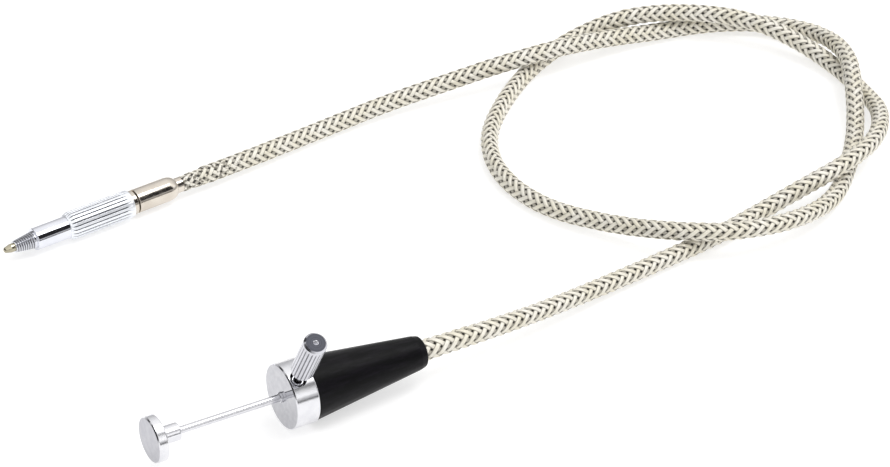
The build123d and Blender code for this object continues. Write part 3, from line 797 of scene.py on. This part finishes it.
def make_spring():
    """The return spring inside the handle."""
    per_turn, sides = 28, 10
    t = np.linspace(0, 1, SPRING_TURNS * per_turn + 1)[:, None]
    a = np.linspace(0, 2 * math.pi, sides, endpoint=False)[None, :]
    station = SPRING_START + (SPRING_END - SPRING_START) * t + SPRING_WIRE * np.sin(a)
    radius = SPRING_RADIUS + SPRING_WIRE * np.cos(a) + 0 * t
    vertices = HANDLE.place(station, radius, 2 * math.pi * SPRING_TURNS * t + 0 * a).reshape(-1, 3)
    i = np.arange(SPRING_TURNS * per_turn)[:, None] * sides
    j, k = np.arange(sides)[None, :], (np.arange(sides)[None, :] + 1) % sides
    faces = np.stack([i + j, i + sides + j, i + sides + k, i + k], axis=-1).reshape(-1, 4)
    spring = add_piece("spring", vertices, faces.tolist(), "spring", "handle",
                       ["return_spring"])
    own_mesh(spring)


make_spring()

# ------------------------------------------------------------------ lock screw
turn("thumbscrew", SCREW, [
    (SCREW_START, 0), (SCREW_START, 1.2, 0.1), (6.3, 1.2, 0.1), (6.3, 1.0, 0.05), (THUMB_START, 1.0, 0.1),
    (THUMB_START, 2.15, 0.1), (THUMB_START + 0.35, THUMB_RADIUS, 0.2), (THUMB_TOP - 0.5, THUMB_RADIUS, 0.2),
    (THUMB_TOP, THUMB_RADIUS - 0.5, 0.1), (THUMB_TOP, DIMPLE_RADIUS, 0.06), (THUMB_TOP - 0.4, 0),
], "thumbscrew", "screw", ["lock_screw"], around=240, step=1.0,
    relief=flutes(20, 0.22, 0.45, THUMB_START, THUMB_TOP - 1.2, 0.35))

# ------------------------------------------------------------------ tip
ferrule = turn("ferrule_cap", TIP, [
    (0.0, 1.4), (0.0, 1.75, 0.1), (1.6, 1.78, 0.1), (1.7, 1.9), (1.85, 2.12), (2.1, 2.31), (2.5, 2.49),
    (3.1, 2.66), (3.8, FERRULE_RADIUS), (FERRULE_END, FERRULE_RADIUS, 0.12), (FERRULE_END, 1.55),
], "nickel", "handle", ["ferrule"])
collar = turn("collar", TIP, [
    (COLLAR_START, 1.55), (COLLAR_START, FERRULE_RADIUS, 0.15), (RING_START, FERRULE_RADIUS, 0.1),
    (RING_START, 1.55),
], "nickel", "tip", ["swivel_collar"])
ring = turn("ring", TIP, [
    (RING_START, 1.6), (RING_START, RING_RADIUS, 0.22), (RING_END - 1.2, RING_RADIUS, 0.4),
    (RING_END, 2.65, 0.12), (RING_END, 2.5),
], "chrome_fluted", "tip", ["knurled_ring"], around=264, step=1.0,
    relief=flutes(22, 0.28, 0.5, RING_START + 1.1, RING_END - 0.4, 0.35))
nipple = turn("barrel", TIP, [
    (RING_END - 1.3, BARREL_RADIUS), (SHOULDER, BARREL_RADIUS, 0.2), (SHOULDER, 2.0, 0.05),
    (THREAD_START, 2.0, 0.05), (THREAD_END, 1.36, 0.1), (THREAD_END, 0.99),
], "chrome", "tip", ["threaded_nipple"], step=0.06,
    relief=thread(THREAD_PITCH, 0.26, THREAD_START, THREAD_END))
pin = turn("pin_point", TIP, [
    (PIN_START, PIN_RADIUS), (43.9, PIN_RADIUS, 0.4), (45.25, 0.62, 0.3), (PIN_END, 0.35, 0.15),
    (PIN_END, 0),
], "brass", "pin", ["push_pin"], around=48)

# ------------------------------------------------------------------ CAD nodes that stay
KEPT = {
    "guide_bush": "rod",
    "stop_collar": "brass",
    "wire_socket": "brass",
    "spring_tube": "dark_steel",
    "cable_anchor": "brass",
    "braid_crimp": "brass",
    "lock_pad": "brass",
    "conduit": "spring",
    "inner_wire": "spring",
    "swivel_spindle": "dark_steel",
    "spindle_clip": "spring",
    "pin_socket": "brass",
}
for node, material in KEPT.items():
    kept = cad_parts[node]
    for k in range(len(kept.material_slots)):
        kept.material_slots[k].link = "OBJECT"
        kept.material_slots[k].material = MATERIALS[material]

# ------------------------------------------------------------------ floor and light
FLOOR_REACH = 5.0
FLOOR_HEIGHT = -0.0002


def floor_material():
    """White that glows a little, so that shadows stay as faint as the photo's."""
    n = Surface("floor_white")
    n.give("Base Color", (0.56, 0.56, 0.56, 1))
    n.give("Emission Color", (1, 1, 1, 1))
    n.give("Emission Strength", 0.58)
    n.give("Roughness", 0.9)
    n.give("Specular IOR Level", 0.1)
    return n


def make_floor():
    corners = [(x * FLOOR_REACH, y * FLOOR_REACH, FLOOR_HEIGHT)
               for x, y in ((-1, -1), (1, -1), (1, 1), (-1, 1))]
    mesh = bpy.data.meshes.new("floor")
    mesh.from_pydata(corners, [], [(0, 1, 2, 3)])
    mesh.materials.append(floor_material().material)
    floor = bpy.data.objects.new("floor", mesh)
    SCENE.collection.objects.link(floor)
    return floor


floor = make_floor()


def make_world():
    """A white tent, brightest at the front, with dark gaps that bright metal shows as dark lines."""
    world = bpy.data.worlds.new("tent")
    SCENE.world = world
    world.use_nodes = True
    n = Nodes(world.node_tree)
    look = n.new("ShaderNodeTexCoord").outputs["Generated"]
    height = n.new("ShaderNodeSeparateXYZ", {0: look}).outputs[2]
    flat = n.new("ShaderNodeVectorMath", {0: look, 1: (1, 1, 0)}, operation="MULTIPLY").outputs[0]
    level = n.new("ShaderNodeVectorMath", {0: flat}, operation="NORMALIZE").outputs[0]

    def patch(bearing, half_width, side_blur, low, high, blur):
        """1 inside a patch of the tent, 0 outside. The bearing is from +X and its half width and
        side blur are in degrees too. Low, high and blur are sines of the height angle."""
        ahead = (math.cos(math.radians(bearing)), math.sin(math.radians(bearing)), 0)
        dot = n.new("ShaderNodeVectorMath", {0: level, 1: ahead}, operation="DOT_PRODUCT")
        sides = n.span(dot.outputs["Value"], math.cos(math.radians(half_width + side_blur)),
                       math.cos(math.radians(half_width)))
        ends = n.math("MULTIPLY", n.span(height, low, low + blur), n.span(height, high, high - blur))
        return n.math("MULTIPLY", sides, ends)

    sky = n.mix(n.span(height, 0.05, 0.95), (0.55, 0.55, 0.56, 1), (1.2, 1.2, 1.2, 1))
    front = patch(-62, 34, 30, 0.2, 1.0, 0.12)
    sky = n.mix(front, sky, (1.45, 1.45, 1.45, 1))
    high_front_gap = patch(-49, 12, 4, 0.22, 0.8, 0.07)
    low_front_gap = patch(-65, 12, 9, -0.02, 0.13, 0.04)
    button_side_gap = patch(-172, 32, 14, 0.04, 0.62, 0.06)
    back_gap = patch(118, 16, 6, 0.2, 0.75, 0.08)
    gaps = n.math("MAXIMUM", high_front_gap, low_front_gap)
    gaps = n.math("MAXIMUM", gaps, button_side_gap)
    gaps = n.math("MAXIMUM", gaps, back_gap)
    background = n.tree.nodes["Background"]
    n.put(n.mix(gaps, sky, (0.02, 0.02, 0.022, 1)), background.inputs["Color"])
    n.put(1.0, background.inputs["Strength"])


make_world()


def soft_light(name, place, target, size, power):
    light = bpy.data.lights.new(name, "AREA")
    light.shape = "SQUARE"
    light.size = size
    light.energy = power
    lamp = bpy.data.objects.new(name, light)
    SCENE.collection.objects.link(lamp)
    lamp.location = place
    lamp.rotation_mode = "QUATERNION"
    lamp.rotation_quaternion = (Vector(target) - Vector(place)).to_track_quat("-Z", "Y")


soft_light("overhead", (0.5, -0.2, 1.2), (0.05, 0.03, 0), 0.5, 4.5)
